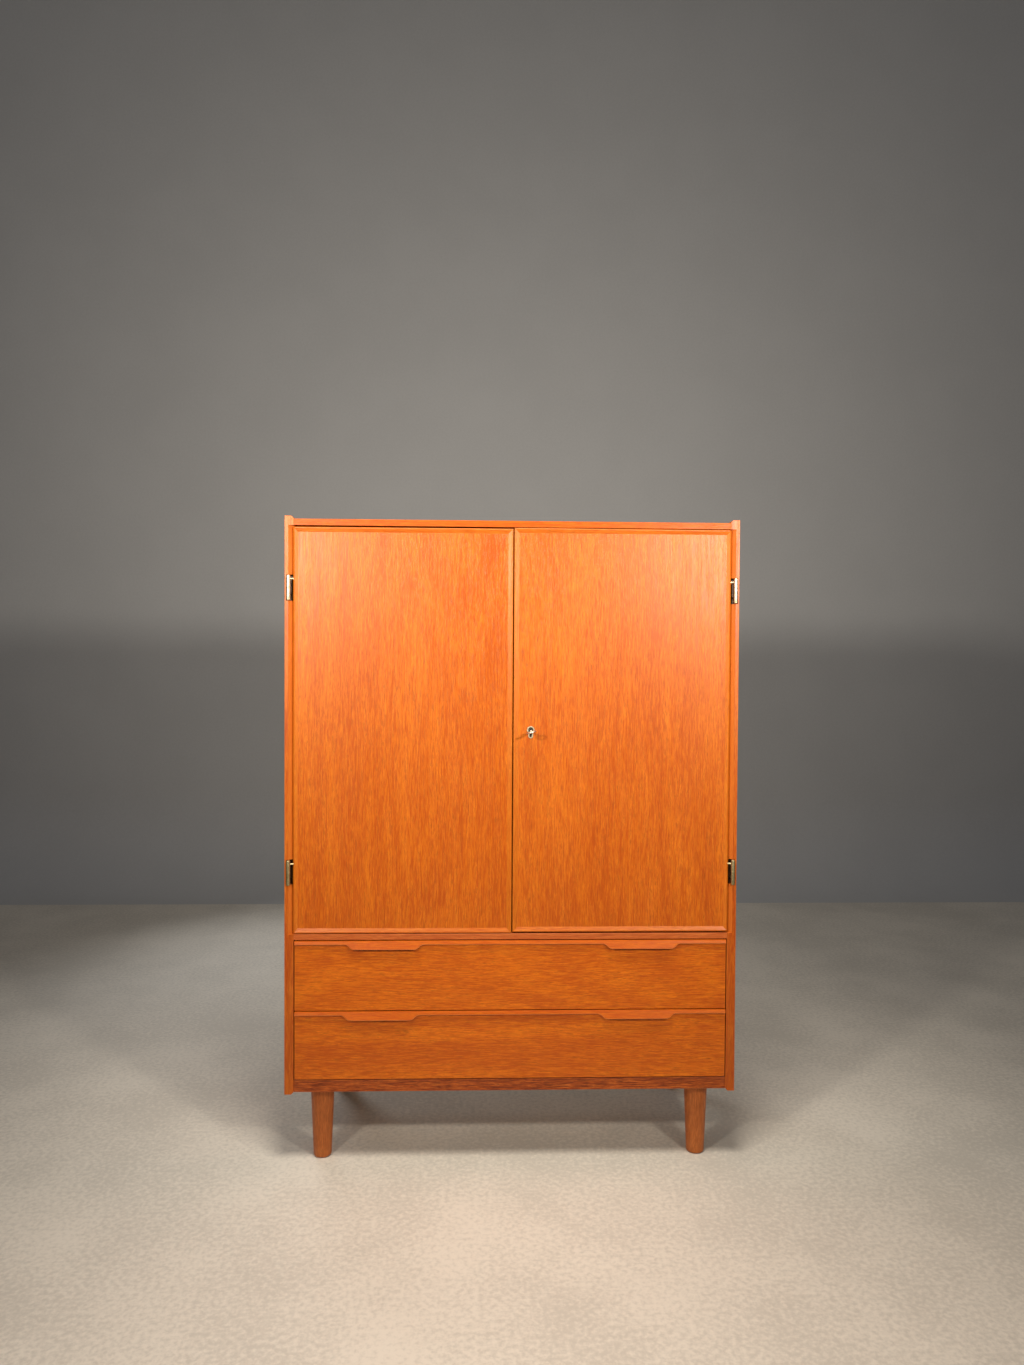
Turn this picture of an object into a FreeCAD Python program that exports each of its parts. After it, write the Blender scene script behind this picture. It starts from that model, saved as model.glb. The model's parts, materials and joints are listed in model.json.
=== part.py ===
import FreeCAD, Part

import math
import os

# A free-standing wardrobe: two veneered doors with lock and barrel hinges over
# two full-width drawers, on four turned legs.
#
# Frame: +X to the right, +Y to the back, +Z up. The origin lies on the floor,
# at the centre of the whole object's footprint box, key and pulls included.
# Every size is in millimetres.

V = FreeCAD.Vector

# Carcass
WIDTH = 1100.0
LEG_CLEARANCE = 172.0
SIDE_HEIGHT = 1400.0
SIDE_DEPTH = 480.0
SIDE_THICKNESS = 22.0
KEY_REACH = 44.0
EDGE_ROUND = 0.8
SETBACK = 0.5
TOP_STEP = 7.0
TOP_THICKNESS = 15.5
RAIL_STEP = 5.0
RAIL_HEIGHT = 29.0
RAIL_SETBACK = 2.0
RAIL_THICKNESS = 18.0
RAIL_EDGE_ROUND = 1.5
BOTTOM_THICKNESS = 16.0
DECK_THICKNESS = 14.0
BACK_THICKNESS = 8.0
BACK_LAP = 9.5
BACK_PLAY = 0.3
SIDE_END_CHAMFER = 6.0
GAP = 2.6

# Doors
DOOR_THICKNESS = 20.0
DOOR_OVERLAP = 2.5
DOOR_CENTRE_GAP = 2.6
DOOR_NOSE = 7.0
DOOR_NOSE_FLAT = 1.0
FIELD_DEPTH = 3.5
LIPPING = 12.0
LIPPING_CREST = 3.5
LIPPING_ROUND = 2.5
SIDE_CHAMFER = 13.0
LEFT_DOOR_LIFT = -1.0
RIGHT_DOOR_LIFT = 1.2

# Barrel hinges
HINGE_LENGTH = 61.0
HINGE_RADIUS = 4.8
HINGE_INSET = 147.0
HINGE_FROM_OUTSIDE = 9.5
HINGE_PROUD = 2.0
HINGE_END_ROUND = 2.0
HINGE_WASHER = 0.8
HINGE_WASHER_GAP = 0.2
HINGE_WASHER_STEP = 0.5
HINGE_PIN_RADIUS = 2.5
HINGE_PIN_LENGTH = 14.0
HINGE_BORE_SPARE = 1.5
HINGE_SLOT_DEPTH = 20.0
HINGE_SLOT_PLAY = 0.8
RUNNING_CLEARANCE = 0.05
FRAME_STUD_RADIUS = 2.5
FRAME_STUD_LENGTH = 46.0
DOOR_STUD_RADIUS = 2.2
DOOR_STUD_LENGTH = 32.0
DOOR_STUD_ANGLE = 25.0
DOOR_STUD_DROP = 9.5

# Lock, key and door bolt
KEY_FROM_EDGE = 42.0
KEY_TILT = 17.0
KEY_SHAFT_RADIUS = 2.5
KEY_SHAFT_END = 16.0
KEY_COLLAR_RADIUS = 4.2
KEY_COLLAR_LENGTH = 4.0
KEY_BIT_LENGTH = 8.5
KEY_BIT_WIDTH = 5.0
KEY_BIT_THICKNESS = 2.0
BOW_WIDTH = 26.0
BOW_DEPTH = 20.0
BOW_THICKNESS = 3.4
BOW_RIM = 5.5
KEYHOLE_RADIUS = 6.2
KEYHOLE_RISE = 3.5
KEYHOLE_SLOT = 6.2
KEYHOLE_DROP = 14.0
ESCUTCHEON_RIM = 2.9
ESCUTCHEON_THICKNESS = 1.2
LOCK_WIDTH = 56.0
LOCK_HEIGHT = 60.0
LOCK_THICKNESS = 12.0
LOCK_WALL = 2.0
LOCK_EDGE_ROUND = 1.0
LOCK_POCKET_PLAY = 0.4
BIT_CHAMBER_RADIUS = 9.5
CASE_KEYHOLE_RADIUS = 4.6
CASE_KEYHOLE_SLOT = 3.6
LOCK_BOLT_HEIGHT = 16.0
LOCK_BOLT_THICKNESS = 6.0
LOCK_BOLT_LENGTH = 34.0
LOCK_BOLT_TRAVEL = 7.0
LOCK_BOLT_ABOVE_KEY = 11.0
LOCK_CLEARANCE = 0.5
STRIKE_CLEARANCE = 1.0
DOOR_BOLT_RADIUS = 3.0
DOOR_BOLT_LENGTH = 70.0
DOOR_BOLT_TRAVEL = 9.0
DOOR_BOLT_HOLE_PLAY = 1.0
DOOR_BOLT_FROM_EDGE = 17.0
DOOR_BOLT_STANDOFF = 6.0
DOOR_BOLT_SETBACK = 1.0
DOOR_BOLT_KNOB_RADIUS = 2.5
DOOR_BOLT_KNOB_REACH = 10.0
DOOR_BOLT_KNOB_RISE = 12.0
BOLT_PLATE_WIDTH = 18.0
BOLT_PLATE_THICKNESS = 1.5
BOLT_PLATE_HEIGHT = 64.0
BOLT_PLATE_DROP = 4.0
BOLT_GUIDE_WIDTH = 12.0
BOLT_GUIDE_HEIGHT = 12.0
BOLT_GUIDE_WALL = 5.5
BOLT_GUIDE_INSET = 4.0
BOLT_GUIDE_PLAY = 0.3

# Drawers
LOWER_FRONT_HEIGHT = 165.5
UPPER_FRONT_HEIGHT = 169.5
DRAWER_FRONT_THICKNESS = 18.0
DRAWER_SIDE_GAP = 2.4
DRAWER_WALL = 12.0
DRAWER_WALL_HEIGHT = 125.0
DRAWER_DEPTH = 440.0
DRAWER_BOTTOM = 5.0
DRAWER_BOTTOM_LET_IN = 4.0
DRAWER_BOTTOM_RISE = 8.0
DRAWER_BACK_DROP = 6.0
DRAWER_WALL_RISE = 12.0
DRAWER_CLEARANCE = 2.6
RUNNER_RISE = 52.0
RUNNER_HEIGHT = 14.0
RUNNER_WIDTH = 7.5
RUNNER_PLAY = 0.6
RUNNER_FRONT_GAP = 12.0
RUNNER_BACK_GAP = 25.0
GROOVE_FRONT_GAP = 8.0
PULL_OFFSET = 313.0
UPPER_PULL_SHIFT = 4.5
LOWER_PULL_SHIFT = -6.0
PULL_FLAT = 141.0
PULL_SWEEP = 26.0
PULL_HEIGHT = 19.0
BEAD_HEIGHT = 8.0
STRIP_TOP_PROUD = 3.0
STRIP_LIP_PROUD = 11.5
STRIP_EDGE_ROUND = 1.2
FINGER_RADIUS = 7.0
FINGER_DROP = 16.5

# Interior
PARTITION = 16.0
INTERIOR_SETBACK = 38.0
SHELF_THICKNESS = 16.0
SHELF_TOPS = (810.0, 1056.0, 1302.0)
SHELF_PIN_RADIUS = 2.5
SHELF_PIN_LENGTH = 18.0
SHELF_HOLE_DEPTH = 8.5
SHELF_HOLE_STEP = 32.0
SHELF_PIN_INSET = 45.0
SHELF_END_GAP = 0.6
SHELF_FRONT_GAP = 2.0
SHELF_BACK_GAP = 4.0
HANGING_RAIL_RADIUS = 11.0
HANGING_RAIL_DROP = 60.0
SOCKET_RADIUS = 17.0
SOCKET_DEPTH = 14.0
SOCKET_BASE = 3.0
RAIL_PLAY = 0.3

# Legs
LEG_FROM_SIDE = 85.0
LEG_FROM_FACE = 50.0
LEG_TOP_RADIUS = 29.4
LEG_FOOT_RADIUS = 21.8
LEG_FOOT_ROUND = 6.0
LEG_PLATE = 58.0
LEG_PLATE_THICKNESS = 3.0
LEG_PLATE_CORNER = 6.0
PLATE_SCREW_INSET = 6.5
LEG_BOLT_RADIUS = 4.0
LEG_BOLT_IN_LEG = 40.0
LEG_BOLT_ABOVE = 12.0

# Screws
SCREW_HEAD_RADIUS = 4.0
SCREW_HEAD_HEIGHT = 2.4
SCREW_SHANK_RADIUS = 1.75
BACK_SCREW_LENGTH = 22.0
BACK_SCREW_COUNT = 6
BACK_SCREW_STEP = 252.0
BACK_SCREW_START = 70.0
PLATE_SCREW_LENGTH = 12.0
SCREW_CLEARANCE = 0.05

# Places that follow from the sizes above
HALF = WIDTH / 2
INNER = HALF - SIDE_THICKNESS
FRONT = -(SIDE_DEPTH - KEY_REACH) / 2
BACK = FRONT + SIDE_DEPTH
BOARD_BACK = BACK - BACK_THICKNESS
SIDE_BOTTOM = LEG_CLEARANCE
SIDE_TOP = SIDE_BOTTOM + SIDE_HEIGHT
RAIL_BOTTOM = SIDE_BOTTOM + RAIL_STEP
RAIL_TOP = RAIL_BOTTOM + RAIL_HEIGHT
LOWER_FRONT_BOTTOM = RAIL_TOP + GAP
UPPER_FRONT_BOTTOM = LOWER_FRONT_BOTTOM + LOWER_FRONT_HEIGHT + GAP
DECK_BOTTOM = UPPER_FRONT_BOTTOM + UPPER_FRONT_HEIGHT + GAP
DECK_TOP = DECK_BOTTOM + DECK_THICKNESS
TOP_SURFACE = SIDE_TOP - TOP_STEP
TOP_UNDERSIDE = TOP_SURFACE - TOP_THICKNESS
DOOR_BOTTOM = DECK_TOP + GAP
DOOR_TOP = TOP_UNDERSIDE - GAP
DOOR_OUTER = INNER + DOOR_OVERLAP
DOOR_INNER = DOOR_CENTRE_GAP / 2
DOOR_BACK = FRONT + DOOR_THICKNESS
HINGE_X = HALF - HINGE_FROM_OUTSIDE
HINGE_Y = FRONT - HINGE_PROUD
HINGE_HEIGHTS = (DOOR_BOTTOM + HINGE_INSET, DOOR_TOP - HINGE_INSET)
KEY_X = DOOR_INNER + KEY_FROM_EDGE
KEY_Z = (DOOR_BOTTOM + DOOR_TOP) / 2
INTERIOR_FRONT = FRONT + INTERIOR_SETBACK
PLATE_BOTTOM = RAIL_TOP - BOTTOM_THICKNESS - LEG_PLATE_THICKNESS
LEG_X = HALF - LEG_FROM_SIDE
LEG_YS = (FRONT + LEG_FROM_FACE, BACK - LEG_FROM_FACE)
DRAWER_HALF = INNER - DRAWER_SIDE_GAP
DOOR_BOLT_X = -(DOOR_INNER + DOOR_BOLT_FROM_EDGE)
DOOR_BOLT_Y = DOOR_BACK + DOOR_BOLT_STANDOFF

# How far a cutting tool reaches past the surface it cuts, and when two places are the same
CUT = 1.0
TOUCH = 0.01


# ---------------------------------------------------------------- helpers

def box(x0, x1, y0, y1, z0, z1):
    return Part.makeBox(x1 - x0, y1 - y0, z1 - z0, V(x0, y0, z0))


def board(x0, x1, y0, y1, z0, z1, radius=EDGE_ROUND):
    """A box whose edges are all eased by a small radius."""
    block = box(x0, x1, y0, y1, z0, z1)
    return block.makeFillet(radius, block.Edges)


def prism(corners, sweep):
    """A polygon given by its corners, swept along a vector."""
    outline = Part.makePolygon(corners + corners[:1])
    return Part.Face(outline).extrude(sweep)


def rod(radius, start, end):
    run = end - start
    return Part.makeCylinder(radius, run.Length, start, run)


def mirrored(shape):
    return shape.mirror(V(0, 0, 0), V(1, 0, 0))


def group(shapes):
    return Part.makeCompound(list(shapes))


def screw(head, direction, length, clearance=0.0):
    """A countersunk screw from its head's outer face inward."""
    head_radius = SCREW_HEAD_RADIUS + clearance
    shank_radius = SCREW_SHANK_RADIUS + clearance
    cone = Part.makeCone(head_radius, shank_radius, SCREW_HEAD_HEIGHT, head, direction)
    shank = rod(shank_radius, head, head + direction * length)
    return cone.fuse(shank).removeSplitter()


def save(name, shape):
    shape.exportStep(os.path.join("parts", name + ".step"))


# ------------------------------------------------------- fastener positions

def back_screws(clearance=0.0):
    """Screws that hold the back panel in the rebates of the sides."""
    lowest = SIDE_BOTTOM + BACK_SCREW_START
    heights = [lowest + step * BACK_SCREW_STEP for step in range(BACK_SCREW_COUNT)]
    x = INNER + BACK_LAP / 2
    heads = [V(sign * x, BACK, z) for sign in (-1, 1) for z in heights]
    return [screw(head, V(0, -1, 0), BACK_SCREW_LENGTH, clearance) for head in heads]


def leg_centres():
    return {
        "front_left_leg": V(-LEG_X, LEG_YS[0], 0),
        "front_right_leg": V(LEG_X, LEG_YS[0], 0),
        "rear_left_leg": V(-LEG_X, LEG_YS[1], 0),
        "rear_right_leg": V(LEG_X, LEG_YS[1], 0),
    }


def plate_screws(centre, clearance=0.0):
    offset = LEG_PLATE / 2 - PLATE_SCREW_INSET
    corners = [(-1, -1), (-1, 1), (1, -1), (1, 1)]
    heads = [centre + V(sx * offset, sy * offset, PLATE_BOTTOM) for sx, sy in corners]
    return [screw(head, V(0, 0, 1), PLATE_SCREW_LENGTH, clearance) for head in heads]


def all_plate_screws(clearance=0.0):
    rows = [plate_screws(centre, clearance) for centre in leg_centres().values()]
    return [one for row in rows for one in row]


def leg_bolt(centre, clearance=0.0):
    start = centre + V(0, 0, PLATE_BOTTOM - LEG_BOLT_IN_LEG)
    end = centre + V(0, 0, PLATE_BOTTOM + LEG_BOLT_ABOVE)
    return rod(LEG_BOLT_RADIUS + clearance, start, end)


def all_leg_bolts(clearance=0.0):
    return [leg_bolt(centre, clearance) for centre in leg_centres().values()]


def shelf_pin_rows():
    """Where pins and spare holes sit: X of the wall face, its inward sign, and Y."""
    ys = (INTERIOR_FRONT + SHELF_PIN_INSET, BOARD_BACK - SHELF_PIN_INSET)
    walls = ((-INNER, 1), (-PARTITION / 2, -1))
    return [(face, inward, y) for face, inward in walls for y in ys]


def shelf_pin(face, inward, y, z, clearance=0.0):
    start = V(face - inward * SHELF_HOLE_DEPTH, y, z)
    end = start + V(inward * SHELF_PIN_LENGTH, 0, 0)
    return rod(SHELF_PIN_RADIUS + clearance, start, end)


def shelf_pin_heights():
    return [top - SHELF_THICKNESS - SHELF_PIN_RADIUS for top in SHELF_TOPS]


def shelf_pins():
    return [shelf_pin(*row, z) for row in shelf_pin_rows() for z in shelf_pin_heights()]


def shelf_pin_holes():
    steps = [step * SHELF_HOLE_STEP for step in (-2, -1, 0, 1, 2)]
    heights = [z + step for z in shelf_pin_heights() for step in steps]
    return [shelf_pin(*row, z, SCREW_CLEARANCE) for row in shelf_pin_rows() for z in heights]


# ----------------------------------------------------------------- hinges

def hinge_axis_point(middle):
    return V(-HINGE_X, HINGE_Y, middle)


def frame_stud(middle, clearance=0.0):
    start = hinge_axis_point(middle) - V(0, 0, HINGE_LENGTH / 4)
    return rod(FRAME_STUD_RADIUS + clearance, start, start + V(0, FRAME_STUD_LENGTH, 0))


def door_stud(middle, clearance=0.0):
    angle = math.radians(DOOR_STUD_ANGLE)
    start = hinge_axis_point(middle) + V(0, 0, HINGE_LENGTH / 2 - DOOR_STUD_DROP)
    run = V(math.cos(angle), math.sin(angle), 0) * DOOR_STUD_LENGTH
    return rod(DOOR_STUD_RADIUS + clearance, start, start + run)


def barrel(bottom, top, rounded_end):
    """One half of a hinge barrel, with its outer end rounded over."""
    body = rod(HINGE_RADIUS, bottom, top)
    rims = [edge for edge in body.Edges if edge.Closed]
    end = [rim for rim in rims if abs(rim.CenterOfMass.z - rounded_end) < TOUCH]
    return body.makeFillet(HINGE_END_ROUND, end)


def frame_half(middle):
    """The lower half: barrel, washer, pin and the stud into the side panel."""
    axis = hinge_axis_point(middle)
    bottom = axis - V(0, 0, HINGE_LENGTH / 2)
    shoulder = axis - V(0, 0, HINGE_WASHER / 2)
    washer_top = axis + V(0, 0, HINGE_WASHER / 2 - HINGE_WASHER_GAP)
    washer = rod(HINGE_RADIUS - HINGE_WASHER_STEP, shoulder, washer_top)
    pin = rod(HINGE_PIN_RADIUS, shoulder, axis + V(0, 0, HINGE_PIN_LENGTH))
    half = barrel(bottom, shoulder, bottom.z)
    return half.fuse([washer, pin, frame_stud(middle)]).removeSplitter()


def door_half(middle):
    """The upper half: barrel with a blind bore and the stud into the door."""
    axis = hinge_axis_point(middle)
    bottom = axis + V(0, 0, HINGE_WASHER / 2)
    top = axis + V(0, 0, HINGE_LENGTH / 2)
    bore_top = axis + V(0, 0, HINGE_PIN_LENGTH + HINGE_BORE_SPARE)
    bore = rod(HINGE_PIN_RADIUS + RUNNING_CLEARANCE, axis, bore_top)
    half = barrel(bottom, top, top.z).fuse(door_stud(middle)).removeSplitter()
    return half.cut(bore)


def hinge_slot(middle):
    """The recess in the side panel that the barrel and the door stud sit in."""
    half = HINGE_LENGTH / 2 + HINGE_SLOT_PLAY
    left = -HINGE_X - HINGE_RADIUS - HINGE_SLOT_PLAY
    return box(left, -INNER + CUT, FRONT - CUT, FRONT + HINGE_SLOT_DEPTH,
               middle - half, middle + half)


# ---------------------------------------------------------------- carcass

def side_end_chamfer(z, towards):
    """The bevel on the inner corner of a side panel's top or bottom end."""
    size = SIDE_END_CHAMFER
    y = FRONT - CUT
    corners = [V(-INNER, y, z), V(-INNER - size, y, z), V(-INNER, y, z + towards * size)]
    return prism(corners, V(0, SIDE_DEPTH + 2 * CUT, 0))


def stopped_chamfer():
    """The 45 degree bevel beside the doors, which stops level with them."""
    corners = [V(-INNER - SIDE_CHAMFER - CUT, FRONT - CUT, DECK_TOP),
               V(-INNER + CUT, FRONT + SIDE_CHAMFER + CUT, DECK_TOP),
               V(-INNER + CUT, FRONT - CUT, DECK_TOP)]
    return prism(corners, V(0, 0, TOP_UNDERSIDE - DECK_TOP))


def plain_side():
    """A left side panel without the bores that only one side has."""
    panel = board(-HALF, -INNER, FRONT, BACK, SIDE_BOTTOM, SIDE_TOP)
    rebate = box(-INNER - BACK_LAP, -INNER + CUT, BOARD_BACK, BACK + CUT,
                 RAIL_BOTTOM, TOP_SURFACE)
    slots = [hinge_slot(middle) for middle in HINGE_HEIGHTS]
    studs = [frame_stud(middle, SCREW_CLEARANCE) for middle in HINGE_HEIGHTS]
    ends = [side_end_chamfer(SIDE_TOP, -1), side_end_chamfer(SIDE_BOTTOM, 1)]
    return panel.cut([stopped_chamfer(), rebate] + slots + studs + ends)


def carcass_board(z0, z1, front=FRONT + SETBACK):
    return board(-INNER, INNER, front, BOARD_BACK, z0, z1)


def top_panel():
    start = V(DOOR_BOLT_X, DOOR_BOLT_Y, TOP_UNDERSIDE - CUT)
    end = V(DOOR_BOLT_X, DOOR_BOLT_Y, TOP_UNDERSIDE + DOOR_BOLT_TRAVEL)
    bolt_hole = rod(DOOR_BOLT_RADIUS + DOOR_BOLT_HOLE_PLAY, start, end)
    return carcass_board(TOP_UNDERSIDE, TOP_SURFACE).cut(bolt_hole)


def bottom_panel():
    front = FRONT + RAIL_SETBACK + RAIL_THICKNESS
    panel = carcass_board(RAIL_TOP - BOTTOM_THICKNESS, RAIL_TOP, front)
    return panel.cut(all_plate_screws(SCREW_CLEARANCE) + all_leg_bolts(SCREW_CLEARANCE))


def bottom_front_rail():
    front = FRONT + RAIL_SETBACK
    back = front + RAIL_THICKNESS
    return board(-INNER, INNER, front, back, RAIL_BOTTOM, RAIL_TOP, RAIL_EDGE_ROUND)


def back_panel():
    reach = INNER + BACK_LAP - BACK_PLAY
    panel = board(-reach, reach, BOARD_BACK, BACK, RAIL_BOTTOM + BACK_PLAY, TOP_SURFACE - BACK_PLAY)
    return panel.cut(back_screws(SCREW_CLEARANCE))


def centre_partition():
    half = PARTITION / 2
    return board(-half, half, INTERIOR_FRONT, BOARD_BACK, DECK_TOP, TOP_UNDERSIDE)


def shelf(top):
    left = -INNER + SHELF_END_GAP
    right = -PARTITION / 2 - SHELF_END_GAP
    front = INTERIOR_FRONT + SHELF_FRONT_GAP
    return board(left, right, front, BOARD_BACK - SHELF_BACK_GAP, top - SHELF_THICKNESS, top)


def hanging_rail_axis():
    return V(0, (INTERIOR_FRONT + BOARD_BACK) / 2, TOP_UNDERSIDE - HANGING_RAIL_DROP)


def hanging_rail():
    axis = hanging_rail_axis()
    end_gap = SOCKET_BASE + RAIL_PLAY
    start = axis + V(PARTITION / 2 + end_gap, 0, 0)
    return rod(HANGING_RAIL_RADIUS, start, axis + V(INNER - end_gap, 0, 0))


def hanging_rail_sockets():
    """Two round cups that hold the ends of the hanging rail."""
    axis = hanging_rail_axis()
    cups = []
    for face, inward in ((PARTITION / 2, 1), (INNER, -1)):
        start = axis + V(face, 0, 0)
        cup = rod(SOCKET_RADIUS, start, start + V(inward * SOCKET_DEPTH, 0, 0))
        well = rod(HANGING_RAIL_RADIUS + RAIL_PLAY, start + V(inward * SOCKET_BASE, 0, 0),
                   start + V(inward * (SOCKET_DEPTH + CUT), 0, 0))
        cups.append(cup.cut(well))
    return group(cups)


def build_carcass():
    side = plain_side()
    side_bores = back_screws(SCREW_CLEARANCE)
    save("left_side_panel", side.cut(side_bores + shelf_pin_holes()))
    save("right_side_panel", mirrored(side).cut(side_bores))
    save("top_panel", top_panel())
    save("bottom_panel", bottom_panel())
    save("middle_deck", carcass_board(DECK_BOTTOM, DECK_TOP))
    save("bottom_front_rail", bottom_front_rail())
    save("back_panel", back_panel())
    save("back_panel_screws", group(back_screws()))
    save("centre_partition", centre_partition().cut(shelf_pin_holes()))
    for name, top in zip(("lower_shelf", "middle_shelf", "upper_shelf"), SHELF_TOPS):
        save(name, shelf(top))
    save("shelf_pins", group(shelf_pins()))
    save("hanging_rail", hanging_rail())
    save("hanging_rail_sockets", hanging_rail_sockets())


# ------------------------------------------------------------------- legs

def leg(centre):
    """A round leg that tapers to a rounded foot."""
    body = Part.makeCone(LEG_FOOT_RADIUS, LEG_TOP_RADIUS, PLATE_BOTTOM)
    foot = [edge for edge in body.Edges if edge.BoundBox.ZMax < TOUCH]
    body = body.makeFillet(LEG_FOOT_ROUND, foot)
    body.translate(centre)
    return body.cut(leg_bolt(centre, SCREW_CLEARANCE))


def leg_plate(centre):
    half = LEG_PLATE / 2
    plate = box(centre.x - half, centre.x + half, centre.y - half, centre.y + half,
                PLATE_BOTTOM, PLATE_BOTTOM + LEG_PLATE_THICKNESS)
    corners = [edge for edge in plate.Edges if edge.BoundBox.ZLength > TOUCH]
    plate = plate.makeFillet(LEG_PLATE_CORNER, corners)
    return plate.cut(plate_screws(centre, SCREW_CLEARANCE) + [leg_bolt(centre, SCREW_CLEARANCE)])


def build_legs():
    for name, centre in leg_centres().items():
        save(name, leg(centre))
    save("leg_plates", group(leg_plate(centre) for centre in leg_centres().values()))
    save("leg_bolts", group(all_leg_bolts()))
    save("leg_plate_screws", group(all_plate_screws()))


# ------------------------------------------------------------------ doors

def door_blank(z0, z1):
    """The whole left door as one block, with a rounded nose where it meets the side."""
    nose_end = FRONT + DOOR_NOSE + DOOR_NOSE_FLAT
    edge = -INNER + GAP
    slant = edge + DOOR_OUTER
    corners = [V(-DOOR_OUTER, FRONT, z0), V(-DOOR_OUTER, nose_end, z0),
               V(edge, nose_end + slant, z0), V(edge, DOOR_BACK, z0),
               V(-DOOR_INNER, DOOR_BACK, z0), V(-DOOR_INNER, FRONT, z0)]
    block = prism(corners, V(0, 0, z1 - z0))
    nose = [one for one in block.Edges if is_upright(one, -DOOR_OUTER, FRONT)]
    block = block.makeFillet(DOOR_NOSE, nose)
    front = [one for one in block.Edges if one.BoundBox.YMax < FRONT + TOUCH]
    inner_front = [one for one in front if one.BoundBox.XMax > -INNER + LIPPING]
    return block.makeFillet(LIPPING_ROUND, inner_front)


def is_upright(edge, x, y):
    reach = edge.BoundBox
    tall = reach.ZLength > reach.XLength + reach.YLength
    return tall and abs(reach.XMin - x) + abs(reach.YMin - y) < TOUCH


def mitred(x0, x1, z0, z1, cross):
    """Trapezium prisms that mitre the lippings at the door's corners."""
    w = LIPPING
    y = FRONT - CUT
    if cross:
        outlines = [[V(x0, y, z1), V(x1, y, z1), V(x1 - w, y, z1 - w), V(x0 + w, y, z1 - w)],
                    [V(x0, y, z0), V(x1, y, z0), V(x1 - w, y, z0 + w), V(x0 + w, y, z0 + w)]]
    else:
        outlines = [[V(x0, y, z0), V(x0 + w, y, z0 + w), V(x0 + w, y, z1 - w), V(x0, y, z1)],
                    [V(x1, y, z0), V(x1 - w, y, z0 + w), V(x1 - w, y, z1 - w), V(x1, y, z1)]]
    return [prism(outline, V(0, DOOR_THICKNESS + 2 * CUT, 0)) for outline in outlines]


def rectangle(x0, x1, z0, z1, y, inset):
    corners = [V(x0 + inset, y, z0 + inset), V(x1 - inset, y, z0 + inset),
               V(x1 - inset, y, z1 - inset), V(x0 + inset, y, z1 - inset)]
    return Part.makePolygon(corners + corners[:1])


def bevelled_field(x0, x1, z0, z1):
    """The shallow tray that the four lippings slope down to from their crests."""
    outer = rectangle(x0, x1, z0, z1, FRONT, LIPPING_CREST)
    inner = rectangle(x0, x1, z0, z1, FRONT + FIELD_DEPTH, LIPPING)
    return Part.makeLoft([outer, inner], True, True)


def door_bores():
    return [door_stud(middle, SCREW_CLEARANCE) for middle in HINGE_HEIGHTS]


def door_pieces(lift):
    """Panel, cross lippings and upright lippings of the left door, before its lock work."""
    z0 = DOOR_BOTTOM + lift
    z1 = DOOR_TOP + lift
    x0 = -DOOR_OUTER
    x1 = -DOOR_INNER
    blank = door_blank(z0, z1).cut([bevelled_field(x0, x1, z0, z1)] + door_bores())
    w = LIPPING
    panel = box(x0 + w, x1 - w, FRONT + FIELD_DEPTH, DOOR_BACK, z0 + w, z1 - w).cut(door_bores())
    cross = [blank.common(tool) for tool in mitred(x0, x1, z0, z1, True)]
    upright = [blank.common(tool) for tool in mitred(x0, x1, z0, z1, False)]
    return {"panel": panel, "cross_lippings": group(cross), "upright_lippings": group(upright)}


def lock_bolt(travel=0.0, clearance=0.0):
    start = DOOR_INNER - travel
    y = DOOR_BACK - LOCK_THICKNESS / 2
    half = LOCK_BOLT_THICKNESS / 2 + clearance
    bottom = KEY_Z + LOCK_BOLT_ABOVE_KEY
    return box(start - clearance, start + LOCK_BOLT_LENGTH + clearance, y - half, y + half,
               bottom - clearance, bottom + LOCK_BOLT_HEIGHT + clearance)


def strike_pocket():
    """The mortise in the left door's edge that the lock bolt enters."""
    return lock_bolt(LOCK_BOLT_TRAVEL, STRIKE_CLEARANCE)


def lock_case():
    """A half-mortise lock: block, bolt channel, keyhole and the round chamber of the bit."""
    bottom = KEY_Z - LOCK_HEIGHT / 2
    face = DOOR_BACK - LOCK_THICKNESS
    case = box(DOOR_INNER + LOCK_POCKET_PLAY, DOOR_INNER + LOCK_WIDTH, face, DOOR_BACK,
               bottom, bottom + LOCK_HEIGHT)
    case = case.makeFillet(LOCK_EDGE_ROUND, case.Edges)
    chamber_end = V(KEY_X, DOOR_BACK - LOCK_WALL, KEY_Z)
    chamber = rod(BIT_CHAMBER_RADIUS, V(KEY_X, face + LOCK_WALL, KEY_Z), chamber_end)
    round_hole = rod(CASE_KEYHOLE_RADIUS, V(KEY_X, face - CUT, KEY_Z), chamber_end)
    half = CASE_KEYHOLE_SLOT / 2
    slot = box(KEY_X - half, KEY_X + half, face - CUT, face + LOCK_WALL + CUT,
               KEY_Z - KEY_BIT_LENGTH - LOCK_CLEARANCE, KEY_Z)
    channels = [lock_bolt(LOCK_BOLT_TRAVEL, LOCK_CLEARANCE), lock_bolt(0.0, LOCK_CLEARANCE)]
    return case.cut([chamber, round_hole, slot] + channels)


def lock_pocket():
    bottom = KEY_Z - LOCK_HEIGHT / 2
    play = LOCK_POCKET_PLAY
    return box(DOOR_INNER - CUT, DOOR_INNER + LOCK_WIDTH + play,
               DOOR_BACK - LOCK_THICKNESS - play / 2, DOOR_BACK + CUT,
               bottom - play, bottom + LOCK_HEIGHT + play)


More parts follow.
